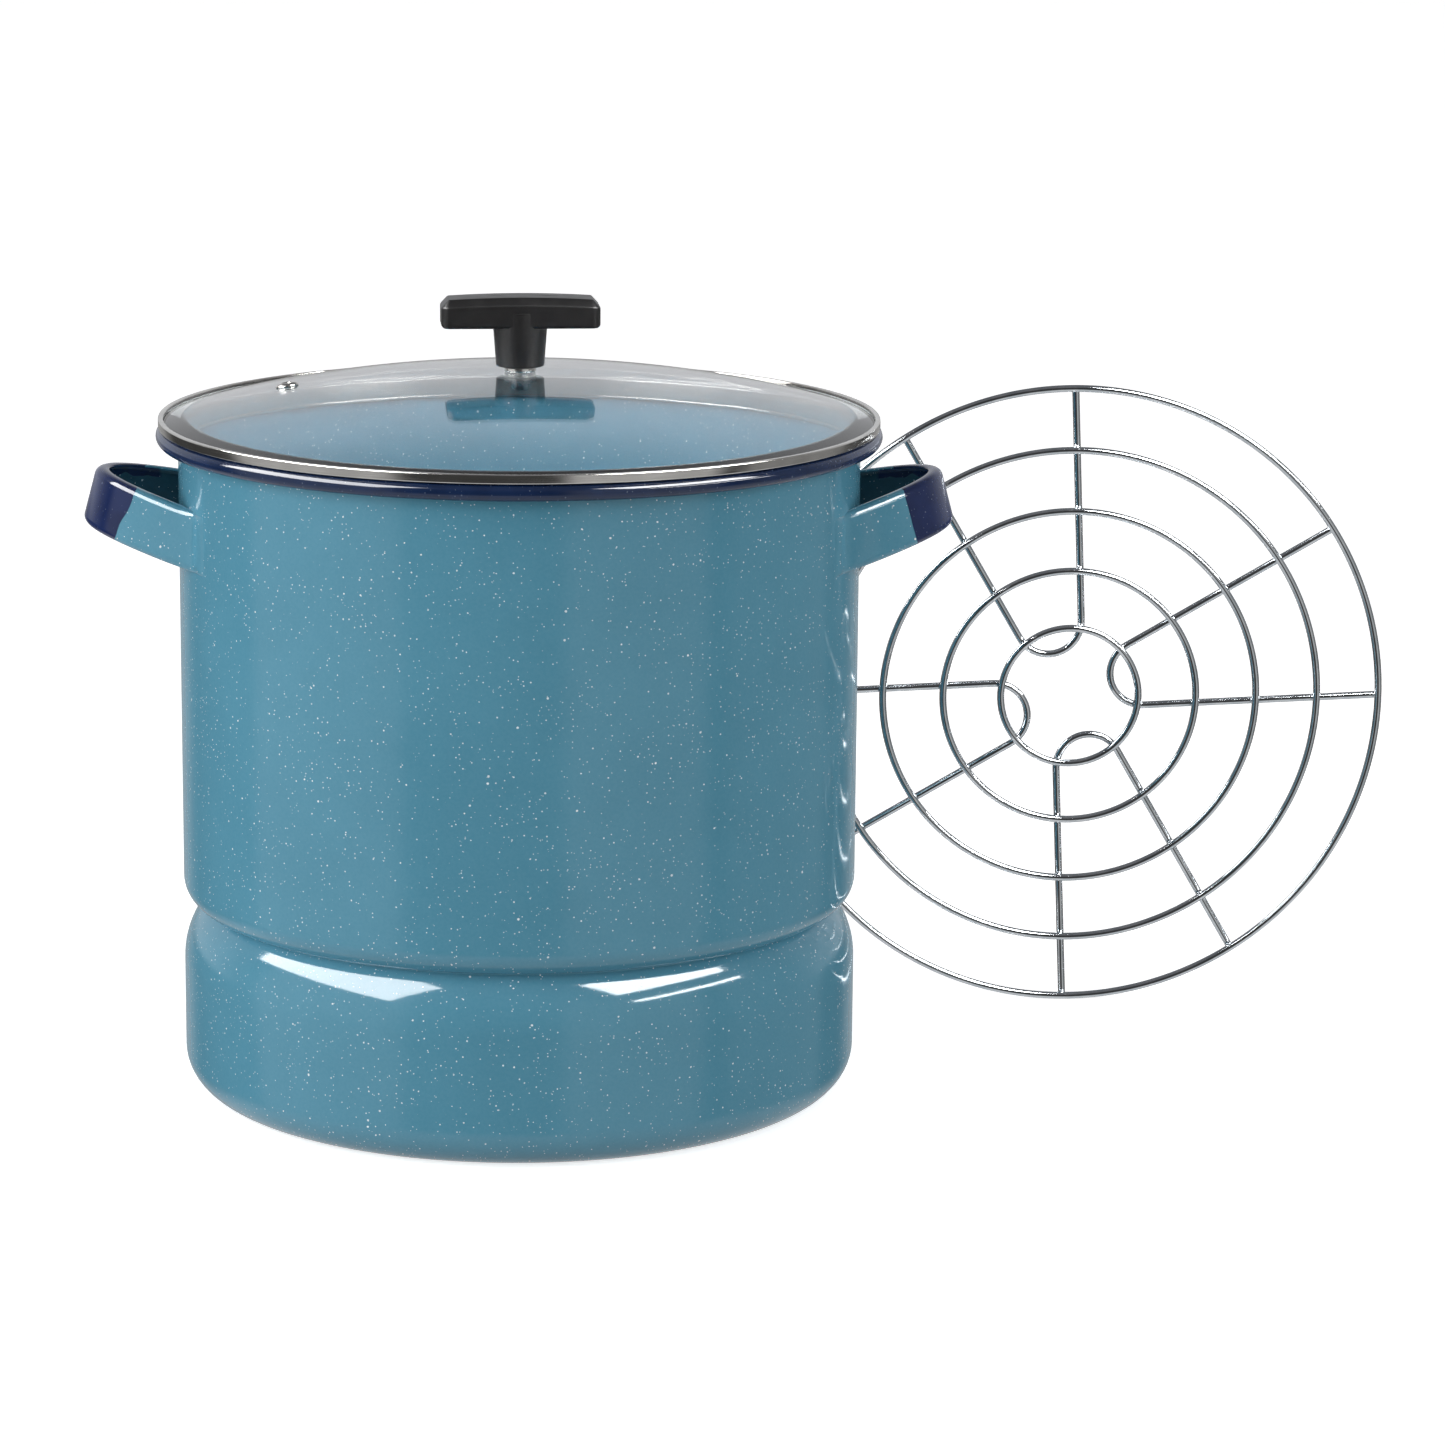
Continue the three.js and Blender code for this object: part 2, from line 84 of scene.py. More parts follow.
dip_edge = 155.6 * MM
dip_blur = 0.4 * MM
drip_line = 153 * MM
drip_width = 1.2 * MM
drip_blur = 0.3 * MM
drip_top = 232 * MM
scallop_edge = 9.6 * MM
scallop_start = 149 * MM

band_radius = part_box("lid_band")[1].x
band_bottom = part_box("lid_band")[0].z
band_sheet = 0.5 * MM
band_height = 3.8 * MM
band_lip = 2.2 * MM
band_corner = 0.6 * MM
hem_fold = 0.45 * MM
hem_height = 1.3 * MM
skirt_radius = wall_radius - wall_sheet - 0.9 * MM
skirt_depth = 9.3 * MM
seat_height = band_bottom + skirt_depth
band_top = seat_height + band_height

glass_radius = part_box("lid_glass")[1].x
glass_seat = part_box("lid_glass")[0].z
glass_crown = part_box("lid_glass")[1].z
glass_sheet = 3.2 * MM
dome_rise = 19.6 * MM
dome_radius = (glass_radius**2 + dome_rise**2) / (2 * dome_rise)
apex_above_hole = 0.01 * MM
dome_centre = glass_crown + apex_above_hole - dome_radius
screw_hole = 2.4 * MM

vent_radius = 97 * MM
vent_direction = math.radians(171.5)
vent_hole = 2.9 * MM
vent_gasket_radius = 4.2 * MM
vent_gasket_sheet = 0.8 * MM
eyelet_bore = 1.8 * MM
eyelet_tube = 2.6 * MM
eyelet_head = 4.75 * MM
eyelet_height = 1.6 * MM

knob_turn = math.radians(3)
knob_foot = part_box("knob")[0].z
knob_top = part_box("knob")[1].z
stem_height = 16.4 * MM
stem_foot = 9.9 * MM
stem_top = 11.1 * MM
bar_height = knob_top - knob_foot - stem_height
bar_length = 65 * MM
bar_depth = 21 * MM
bar_corner = 3.6 * MM
bar_arch = 1.1 * MM
knob_bore = 4.25 * MM

wire = 1.6 * MM
rack_low, rack_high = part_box("rack_ring_5")
rack_centre = (rack_low + rack_high) / 2
rack_radius = (rack_high.z - rack_low.z) / 2 - wire
hairpin_plane = (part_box("rack_hairpin_1")[0].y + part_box("rack_hairpin_1")[1].y) / 2
hairpin_turn = math.radians(16.5)
hairpin_end = math.radians(16.5)
hairpin_loop = 14.5 * MM
hairpin_centre = 34 * MM
bead_size = (1.9 * MM, 1.25 * MM, 1.15 * MM)


# ---------------------------------------------------------------- camera, light and floor

camera_place = Vector((0, -2.0835, 0.6127))
camera_down = math.radians(12.454)
camera_aside = math.radians(-2.208)
camera_roll = math.radians(-0.491)
camera_lens = 127.65

pot_middle = Vector((0, 0, pot_height / 2))
floor_half = 14.0
floor_drop = 0.2 * MM


def make_camera():
    data = bpy.data.cameras.new("camera")
    data.sensor_width = 36
    data.lens = camera_lens
    data.clip_end = 100
    camera = bpy.data.objects.new("camera", data)
    camera.location = camera_place
    camera.rotation_euler = Euler((math.pi / 2 - camera_down, camera_roll, camera_aside))
    bpy.context.scene.collection.objects.link(camera)
    bpy.context.scene.camera = camera


def soft_box(name, azimuth, elevation, distance, width, height, power, mirrored):
    """An area light aimed at the pot. Azimuth 0 is the camera's side, and positive is to the right.

    A mirrored one is seen only in shiny surfaces, and the others only light what is matt.
    """
    turn, lift = math.radians(azimuth), math.radians(elevation)
    away = Vector((math.sin(turn) * math.cos(lift), -math.cos(turn) * math.cos(lift), math.sin(lift)))
    data = bpy.data.lights.new(name, "AREA")
    data.shape = "RECTANGLE"
    data.size = width
    data.size_y = height
    data.energy = power
    light = bpy.data.objects.new(name, data)
    light.location = pot_middle + away * distance
    light.rotation_euler = away.to_track_quat("Z", "Y").to_euler()
    light.visible_diffuse = not mirrored
    light.visible_glossy = mirrored
    bpy.context.scene.collection.objects.link(light)


make_camera()
bpy.context.scene.view_settings.view_transform = "Standard"
soft_box("fill_left", -62, 14, 2.0, 2.2, 1.8, 43, False)
soft_box("fill_right", 62, 14, 2.0, 1.8, 1.8, 22, False)
soft_box("screen_left", -76, 40, 1.7, 1.9, 0.9, 80, True)
soft_box("screen_right", 60, 46, 1.7, 1.25, 0.6, 56, True)
soft_box("strip_right", 62, 25, 1.7, 1.25, 0.07, 8, True)


# ---------------------------------------------------------------- material helpers


class Nodes:
    """The node tree of one material or of the world, with short names for what is used most."""

    def __init__(self, owner):
        owner.use_nodes = True
        self.tree = owner.node_tree
        self.tree.nodes.clear()

    def add(self, kind, inputs=None, **settings):
        node = self.tree.nodes.new(kind)
        for name, value in settings.items():
            setattr(node, name, value)
        for name, value in (inputs or {}).items():
            self.put(node.inputs[name], value)
        return node

    def put(self, socket, value):
        if isinstance(value, bpy.types.NodeSocket):
            self.tree.links.new(value, socket)
        else:
            socket.default_value = value

    def place(self):
        """The point on the piece, in metres."""
        return self.add("ShaderNodeTexCoord").outputs["Object"]

    def math(self, operation, first, second=0.0, third=0.0):
        node = self.add("ShaderNodeMath", operation=operation)
        for socket, value in zip(node.inputs, (first, second, third)):
            self.put(socket, value)
        return node.outputs[0]

    def vector(self, operation, first, second):
        node = self.add("ShaderNodeVectorMath", operation=operation)
        self.put(node.inputs[0], first)
        self.put(node.inputs["Scale"] if operation == "SCALE" else node.inputs[1], second)
        return node.outputs["Value"] if operation in ("LENGTH", "DOT_PRODUCT") else node.outputs[0]

    def parts(self, vector):
        return self.add("ShaderNodeSeparateXYZ", {"Vector": vector}).outputs

    def joined(self, x, y, z):
        return self.add("ShaderNodeCombineXYZ", {"X": x, "Y": y, "Z": z}).outputs[0]

    def step(self, value, low, high, to_low=0.0, to_high=1.0):
        """Smooth step of value from low to high."""
        ramp = {"Value": value, "From Min": low, "From Max": high, "To Min": to_low, "To Max": to_high}
        return self.add("ShaderNodeMapRange", ramp, interpolation_type="SMOOTHSTEP").outputs[0]

    def noise(self, place, size, detail=2.0):
        """Noise with lumps about size metres wide, from 0 to 1."""
        settings = {"Vector": place, "Scale": 1 / size, "Detail": detail}
        return self.add("ShaderNodeTexNoise", settings).outputs[0]

    def mix(self, factor, first, second):
        node = self.add("ShaderNodeMix", data_type="RGBA")
        for name, value in (("Factor_Float", factor), ("A_Color", first), ("B_Color", second)):
            socket = next(each for each in node.inputs if each.identifier == name)
            self.put(socket, value)
        return next(each for each in node.outputs if each.identifier == "Result_Color")

    def bump(self, height, depth, normal=None):
        """Height from 0 to 1 becomes a relief depth metres high."""
        inputs = {"Height": height, "Distance": depth, "Strength": 1.0}
        if normal is not None:
            inputs["Normal"] = normal
        return self.add("ShaderNodeBump", inputs).outputs[0]

    def surface(self, **inputs):
        named = {name.replace("_", " "): value for name, value in inputs.items()}
        return self.add("ShaderNodeBsdfPrincipled", named).outputs[0]

    def finish(self, shader):
        self.add("ShaderNodeOutputMaterial", {"Surface": shader})


def material(name):
    made = bpy.data.materials.new(name)
    return made, Nodes(made)


def linear(level):
    """A screen's level, from 0 to 255, as the linear value that nodes take."""
    share = level / 255
    return share / 12.92 if share <= 0.04045 else ((share + 0.055) / 1.055) ** 2.4


def colour(red, green, blue):
    """A colour given as it looks on a screen, from 0 to 255."""
    return (linear(red), linear(green), linear(blue), 1.0)


def radius_about_axis(n, x, y):
    return n.math("SQRT", n.math("ADD", n.math("MULTIPLY", x, x), n.math("MULTIPLY", y, y)))


# ---------------------------------------------------------------- enamel


def speck_layer(n, place, cell, radius, share):
    """Round specks: where the surface cuts through balls scattered in space. Returns 0 to 1."""
    dots = n.add("ShaderNodeTexVoronoi", {"Vector": place, "Scale": 1 / cell, "Randomness": 1.0})
    chance = n.add("ShaderNodeSeparateColor", {"Color": dots.outputs["Color"]}).outputs
    size = n.math("MULTIPLY_ADD", chance[0], 0.6 * radius / cell, 0.4 * radius / cell)
    edge = n.math("SUBTRACT", size, 0.07 * MM / cell)
    inside = n.add(
        "ShaderNodeMapRange",
        {"Value": dots.outputs["Distance"], "From Min": size, "From Max": edge},
        interpolation_type="SMOOTHSTEP",
    ).outputs[0]
    kept = n.math("LESS_THAN", chance[1], share)
    strength = n.math("MULTIPLY_ADD", chance[2], 0.35, 0.65)
    return n.math("MULTIPLY", n.math("MULTIPLY", inside, kept), strength)


def enamel(name, navy_mask, navy_tone, shaded=False):
    """Turquoise enamel with white specks. navy_mask(n, place) says where it is dipped in navy."""
    made, n = material(name)
    place = n.place()
    wobble = n.add("ShaderNodeTexNoise", {"Vector": place, "Scale": 900.0, "Detail": 1.0})
    shaken = n.vector("ADD", place, n.vector("SCALE", wobble.outputs["Color"], 0.0004))
    patches = n.noise(place, 0.05, 3.0)
    cloud = n.noise(place, 0.012, 4.0)
    grain = n.noise(place, 0.0012, 2.0)
    base = n.mix(n.step(patches, 0.3, 0.7), colour(82, 141, 164), colour(86, 145, 168))
    base = n.mix(n.step(cloud, 0.25, 0.75, 0.0, 0.2), base, colour(76, 134, 156))
    base = n.mix(n.step(grain, 0.3, 0.7, 0.0, 0.08), base, colour(125, 172, 190))
    # Painted shade: the strap's inner side, which faces the pot wall, is darkened towards dark teal in
    # its colour.
    if shaded:
        amount = n.add("ShaderNodeAttribute", attribute_name="inner_side").outputs["Fac"]
        base = n.mix(n.math("MULTIPLY", amount, 0.8), base, colour(30, 62, 76))
    crowded = n.step(n.noise(place, 0.03, 2.0), 0.3, 0.75, 0.5, 1.0)
    specks = speck_layer(n, shaken, 2.2 * MM, 0.38 * MM, crowded)
    for cell, radius, share in ((1.9, 0.3, crowded), (6.0, 0.56, 0.75)):
        more = speck_layer(n, n.vector("ADD", shaken, (cell, 0.1, 0.2)), cell * MM, radius * MM, share)
        specks = n.math("MAXIMUM", specks, more)
    deep = n.mix(0.25, navy_tone, (0.0, 0.0, 0.0, 1.0))
    blue = n.mix(n.step(cloud, 0.3, 0.7), deep, navy_tone)
    navy = navy_mask(n, place)
    speckled = n.mix(specks, base, colour(240, 246, 248))
    few = n.math("MULTIPLY", specks, 0.2)
    dipped = n.mix(few, blue, colour(170, 185, 205))
    ripple = n.bump(n.noise(place, 0.009, 2.0), 0.01 * MM)
    relief = n.bump(n.math("ADD", n.math("MULTIPLY", specks, 0.15), navy), 0.05 * MM, ripple)
    rough = n.math("MULTIPLY_ADD", cloud, 0.05, 0.06)
    shade = n.surface(
        Base_Color=n.mix(navy, speckled, dipped),
        Roughness=rough,
        Normal=relief,
        Specular_IOR_Level=0.5,
    )
    n.finish(shade)
    return made


def rolled_edge_mask(n, place):
    """Navy on the rolled edge, ending in a slightly uneven line."""
    x, y, _ = n.parts(place)
    radius = radius_about_axis(n, x, y)
    uneven = n.math("MULTIPLY", n.noise(place, 0.02, 2.0), 0.0008)
    reach = n.math("ADD", radius, uneven)
    return n.step(reach, wall_radius + 1.5 * MM, wall_radius + 1.9 * MM)


def dipped_handle_mask(n, place):
    """Navy on a handle's far end, slanting down and out, with a scalloped edge on its inner side."""
    x, _, z = n.parts(place)
    out = n.math("ABSOLUTE", x)
    slope = n.step(x, -10 * MM, 10 * MM, 0.4, 0.3)
    lean = n.math("MULTIPLY", n.math("SUBTRACT", strap_height + 18 * MM, z), slope)
    run = n.math("MULTIPLY", n.math("SUBTRACT", n.noise(place, 0.012, 1.0), 0.5), 0.003)
    front = n.math("ADD", n.math("SUBTRACT", out, lean), run)
    outer = n.step(front, dip_edge, dip_edge + dip_blur)
    drip_end = drip_line + drip_width
    drip_in = n.step(front, drip_line, drip_line + drip_blur)
    drip_out = n.step(front, drip_end, drip_end - drip_blur)
    drip = n.math("MULTIPLY", drip_in, drip_out)
    outer = n.math("MAXIMUM", outer, n.math("MULTIPLY", drip, n.step(z, drip_top, drip_top - 4 * MM)))
    inner_side = n.add("ShaderNodeAttribute", attribute_name="inner_side").outputs["Fac"]
    across = n.add("ShaderNodeAttribute", attribute_name="strap_across").outputs["Fac"]
    wave = n.math("MULTIPLY", n.noise(n.joined(out, 0.0, 0.0), 0.006, 1.0), 0.006)
    level = n.math("ADD", across, wave)
    high = n.step(level, scallop_edge, scallop_edge + dip_blur)
    scallop = n.math("MULTIPLY", high, n.step(out, scallop_start, scallop_start + 2 * MM))
    return n.mix(inner_side, outer, scallop)


# ---------------------------------------------------------------- other materials


def about_axis(n, place):
    """Angle, radius and height about the pot's axis, to draw marks out round a turned piece."""
    x, y, z = n.parts(place)
    angle = n.math("ARCTAN2", y, x)
    radius = radius_about_axis(n, x, y)
    return angle, radius, z


def polished_steel(name):
    """Spun and polished stainless steel: hair lines run round it."""
    made, n = material(name)
    place = n.place()
    angle, radius, z = about_axis(n, place)
    lines = n.noise(n.joined(n.math("MULTIPLY", angle, 0.004), radius, z), 0.0003, 3.0)
    cloud = n.noise(place, 0.02, 3.0)
    tone = n.mix(n.step(cloud, 0.3, 0.7), colour(206, 204, 200), colour(222, 220, 216))
    n.finish(
        n.surface(
            Base_Color=n.mix(n.step(lines, 0.3, 0.7, 0.0, 0.25), tone, colour(180, 178, 174)),
            Metallic=1.0,
            Roughness=n.step(lines, 0.2, 0.8, 0.08, 0.2),
            Normal=n.bump(lines, 0.001 * MM),
        )
    )
    return made


def wire_steel(name):
    """Bright plated wire with faint drawing marks and dull spots."""
    made, n = material(name)
    place = n.place()
    marks = n.noise(place, 0.0012, 4.0)
    cloud = n.noise(place, 0.008, 3.0)
    tone = n.mix(n.step(cloud, 0.3, 0.7), colour(196, 202, 206), colour(216, 219, 222))
    n.finish(
        n.surface(
            Base_Color=n.mix(n.step(marks, 0.55, 0.8, 0.0, 0.3), tone, colour(150, 156, 162)),
            Metallic=1.0,
            Roughness=n.step(marks, 0.3, 0.8, 0.05, 0.14),
            Normal=n.bump(cloud, 0.02 * MM),
        )
    )
    return made


def clear_glass(name):
    """Tempered glass with a trace of green. Lamps shine through it."""
    made, n = material(name)
    place = n.place()
    wave = n.noise(place, 0.035, 1.0)
    smear = n.noise(place, 0.01, 3.0)
    glass = n.surface(
        Base_Color=n.mix(n.step(smear, 0.3, 0.7), (0.84, 0.85, 0.86, 1), (0.87, 0.88, 0.89, 1)),
        Roughness=n.step(smear, 0.5, 0.9, 0.0, 0.015),
        Transmission_Weight=1.0,
        IOR=1.5,
        Normal=n.bump(wave, 0.02 * MM),
    )
    through = n.add("ShaderNodeBsdfTransparent", {"Color": (0.55, 0.57, 0.58, 1)}).outputs[0]
    lamp = n.add("ShaderNodeLightPath").outputs["Is Shadow Ray"]
    mixed = n.add("ShaderNodeMixShader", {"Fac": lamp})
    n.put(mixed.inputs[1], glass)
    n.put(mixed.inputs[2], through)
    n.finish(mixed.outputs[0])
    return made


def phenolic(name):
    """Moulded black plastic with a fine satin grain and a little dust."""
    made, n = material(name)
    place = n.place()
    grain = n.noise(place, 0.0004, 3.0)
    cloud = n.noise(place, 0.006, 3.0)
    tone = n.mix(n.step(cloud, 0.3, 0.7), colour(18, 17, 18), colour(23, 22, 23))
    n.finish(
        n.surface(
            Base_Color=n.mix(n.step(grain, 0.6, 0.85, 0.0, 0.3), tone, colour(58, 56, 58)),
            Roughness=n.step(cloud, 0.3, 0.7, 0.33, 0.37),
            Specular_IOR_Level=0.4,
            Normal=n.bump(grain, 0.006 * MM),
        )
    )
    return made


def plain_metal(name, light, dark, rough):
    made, n = material(name)
    place = n.place()
    cloud = n.noise(place, 0.0015, 4.0)
    n.finish(
        n.surface(
            Base_Color=n.mix(n.step(cloud, 0.3, 0.7), light, dark),
            Metallic=1.0,
            Roughness=n.step(cloud, 0.2, 0.8, rough, rough + 0.15),
            Normal=n.bump(cloud, 0.004 * MM),
        )
    )
    return made


def rubber(name):
    made, n = material(name)
    place = n.place()
    cloud = n.noise(place, 0.001, 4.0)
    n.finish(
        n.surface(
            Base_Color=n.mix(n.step(cloud, 0.3, 0.7), colour(176, 180, 180), colour(196, 199, 198)),
            Roughness=n.step(cloud, 0.2, 0.8, 0.5, 0.7),
            Normal=n.bump(cloud, 0.01 * MM),
        )
    )
    return made


pot_enamel = enamel("pot_enamel", rolled_edge_mask, colour(22, 40, 74))
handle_enamel = enamel("handle_enamel", dipped_handle_mask, colour(26, 40, 82), shaded=True)
steel = polished_steel("polished_steel")
rack_steel = wire_steel("rack_wire")
glass = clear_glass("clear_glass")
black_plastic = phenolic("black_phenolic")
zinc = plain_metal("zinc_steel", colour(190, 194, 196), colour(160, 165, 168), 0.22)
brass = plain_metal("brass", colour(204, 170, 96), colour(176, 140, 70), 0.25)
silicone = rubber("silicone")


def make_floor():
    """A pale floor that reaches past the camera's view, evenly white where the camera sees it."""
    made, n = material("floor")
    cloud = n.noise(n.place(), 0.4, 3.0)
    pale = n.mix(cloud, (0.9, 0.9, 0.9, 1), (0.92, 0.92, 0.92, 1))
    spread = n.add("ShaderNodeLightPath").outputs["Diffuse Depth"]
    seen = n.math("LESS_THAN", spread, 0.5)
    shade = n.surface(
        Base_Color=n.mix(seen, (0.32, 0.32, 0.32, 1), pale),
        Roughness=0.9,
        Emission_Color=(1.0, 1.0, 1.0, 1.0),
        Emission_Strength=n.math("MULTIPLY", seen, 0.72),
    )
    n.finish(shade)
    mesh = bpy.data.meshes.new("floor")
    half = floor_half
    corners = [(-half, -half, 0), (half, -half, 0), (half, half, 0), (-half, half, 0)]
    mesh.from_pydata(corners, [], [(0, 1, 2, 3)])
    mesh.materials.append(made)
    floor = bpy.data.objects.new("floor", mesh)
    floor.location.z = -floor_drop
    floor.visible_glossy = False
    bpy.context.scene.collection.objects.link(floor)


# The white screens of the studio: degrees round from the front, half the width, brightness.
studio_screens = (
    (-70, 25, 0.5),
    (40, 20, 0.5),
    (100, 20, 0.25),
)
screen_edge = 10
studio_dark = (0.05, 0.05, 0.05, 1)
studio_back = (0.35, 0.35, 0.35, 1)
glow_behind = (0.62, 0.63, 0.65, 1)
glow_under = (0.7, 0.71, 0.72, 1)
ceiling = (0.16, 0.16, 0.17, 1)
light_all_round = (1.0, 1.0, 1.0, 1)
light_after_bounce = (0.27, 0.27, 0.27, 1)


def make_world():
    """Soft white light all round. What shines sees the studio: dark walls with white screens."""
    world = bpy.data.worlds.new("studio")
    bpy.context.scene.world = world
    n = Nodes(world)
    x, y, z = n.parts(n.add("ShaderNodeTexCoord").outputs["Generated"])
    radians = n.math("ARCTAN2", x, n.math("MULTIPLY", y, -1.0))
    turn = n.math("MULTIPLY", radians, 180 / math.pi)
    walls = n.mix(n.step(n.math("ABSOLUTE", turn), 140, 160), studio_dark, studio_back)
    for middle, half_width, level in studio_screens:
        off = n.math("ABSOLUTE", n.math("SUBTRACT", turn, middle))
        lit = n.step(off, half_width + screen_edge, half_width)
        walls = n.mix(lit, walls, (level, level, level, 1))
    behind = n.step(y, 0.2, 0.7)
    above = n.step(z, 0.42, 0.75)
    under = n.step(z, -0.33, -0.6)
    tone = n.mix(n.math("MULTIPLY", behind, n.step(z, -0.1, 0.0)), walls, glow_behind)
    tone = n.mix(under, tone, glow_under)
    tone = n.mix(above, tone, ceiling)
    path = n.add("ShaderNodeLightPath").outputs
    spread = n.math("GREATER_THAN", path["Diffuse Depth"], 0.5)
    soft = n.mix(spread, light_all_round, light_after_bounce)
    seen = n.mix(path["Is Glossy Ray"], soft, tone)
    background = n.add("ShaderNodeBackground", {"Color": seen, "Strength": 1.0})
    n.add("ShaderNodeOutputWorld", {"Surface": background.outputs[0]})


make_floor()
make_world()


# ---------------------------------------------------------------- mesh helpers


def arc(centre, radius, start, end, steps):
    """Points along an arc, from start to end in degrees, as (across, up)."""
    points = []
    for i in range(steps + 1):
        angle = math.radians(start + (end - start) * i / steps)
        points.append((centre[0] + radius * math.cos(angle), centre[1] + radius * math.sin(angle)))
    return points


def rounded(points, radius, steps=4, closed=False):
    """The outline with each corner rounded, by less where its sides are short."""
    made = []
    count = len(points)
    for i, point in enumerate(points):
        here = Vector(point)
        if not closed and i in (0, count - 1):
            made.append(tuple(here))
            continue
        before, after = Vector(points[i - 1]) - here, Vector(points[(i + 1) % count]) - here
        reach = min(radius, 0.45 * before.length, 0.45 * after.length)
        start, end = here + before.normalized() * reach, here + after.normalized() * reach
        for k in range(steps + 1):
            t = k / steps
            made.append(tuple(start * (1 - t) ** 2 + here * 2 * t * (1 - t) + end * t**2))
    return made


def new_piece(name, bm, surface, sharp=35):
    """A mesh object from bm, smooth except at edges sharper than sharp degrees."""
    bmesh.ops.recalc_face_normals(bm, faces=bm.faces)
    mesh = bpy.data.meshes.new(name)
    bm.to_mesh(mesh)
    bm.free()
    mesh.shade_smooth()
    mesh.set_sharp_from_angle(angle=math.radians(sharp))
    mesh.materials.append(surface)
    piece = bpy.data.objects.new(name, mesh)
    bpy.context.scene.collection.objects.link(piece)
    return piece


def turned(profile, sides=240, closed=True):
    """A body turned about Z. Its profile, as (radius, height), is closed or ends on the axis."""
    bm = bmesh.new()
    rings = []
    for radius, height in profile:
        if radius < 1e-7:
            rings.append([bm.verts.new((0, 0, height))])
            continue
        ring = []
        for i in range(sides):
            angle = 2 * math.pi * i / sides
            ring.append(bm.verts.new((radius * math.cos(angle), radius * math.sin(angle), height)))
        rings.append(ring)
    pairs = list(zip(rings, rings[1:]))
    if closed:
        pairs.append((rings[-1], rings[0]))
    for low, high in pairs:
        for i in range(sides):
            j = (i + 1) % sides
            corners = [low[i % len(low)], low[j % len(low)], high[j % len(high)], high[i % len(high)]]
            unique = list(dict.fromkeys(corners))
            if len(unique) > 2:
                bm.faces.new(unique)
    return bm


def skinned(rings, loop=False):
    """A skin over rings of points: closed on itself, or with a flat end at each side."""
    bm = bmesh.new()
    made = [[bm.verts.new(point) for point in ring] for ring in rings]
    pairs = list(zip(made, made[1:]))
    if loop:
        pairs.append((made[-1], made[0]))
    for low, high in pairs:
        for i in range(len(low)):
            j = (i + 1) % len(low)
            bm.faces.new((low[i], low[j], high[j], high[i]))
    if not loop:
        bm.faces.new(made[0])
        bm.faces.new(made[-1])
    return bm


def smooth_path(points, spacing):
    """Evenly spaced points on a smooth curve through the given ones."""
    ends = [points[0] * 2 - points[1], *points, points[-1] * 2 - points[-2]]
    dense = []
    for p0, p1, p2, p3 in zip(ends, ends[1:], ends[2:], ends[3:]):
        t1 = (p1 - p0).length ** 0.5
        t2 = t1 + (p2 - p1).length ** 0.5
        t3 = t2 + (p3 - p2).length ** 0.5
        for k in range(24):
            t = t1 + (t2 - t1) * k / 24
            a1 = p0 * (t1 - t) / t1 + p1 * t / t1
            a2 = p1 * (t2 - t) / (t2 - t1) + p2 * (t - t1) / (t2 - t1)
            a3 = p2 * (t3 - t) / (t3 - t2) + p3 * (t - t2) / (t3 - t2)
            b1 = a1 * (t2 - t) / t2 + a2 * t / t2
            b2 = a2 * (t3 - t) / (t3 - t1) + a3 * (t - t1) / (t3 - t1)
            dense.append(b1 * (t2 - t) / (t2 - t1) + b2 * (t - t1) / (t2 - t1))
    dense.append(points[-1].copy())
    return resampled(dense, spacing)


def resampled(points, spacing):
    """Points at even distances along a line of points."""
    travel = [0.0]
    for before, after in zip(points, points[1:]):
        travel.append(travel[-1] + (after - before).length)
    count = max(2, round(travel[-1] / spacing))
    made = []
    at = 0
    for k in range(count + 1):
        goal = travel[-1] * k / count
        while at < len(travel) - 2 and travel[at + 1] < goal:
            at += 1
        share = (goal - travel[at]) / (travel[at + 1] - travel[at])
        made.append(points[at].lerp(points[at + 1], share))
    return made


def carved(piece, cutter, operation="DIFFERENCE"):
    """Cuts cutter from piece, or joins it, and removes cutter."""
    change = piece.modifiers.new("carve", "BOOLEAN")
    change.operation = operation
    change.solver = "EXACT"
    change.object = cutter
    bpy.context.view_layer.update()
    result = bpy.data.meshes.new_from_object(piece.evaluated_get(bpy.context.evaluated_depsgraph_get()))
    piece.modifiers.clear()
    piece.data = result
    bpy.data.objects.remove(cutter)
    return piece


def settle(piece, body, nodes):
    """The piece stands for those CAD nodes, which it hides, and moves with body."""
    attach(piece, body)
    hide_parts(*nodes)
    return piece


# ---------------------------------------------------------------- pot shell


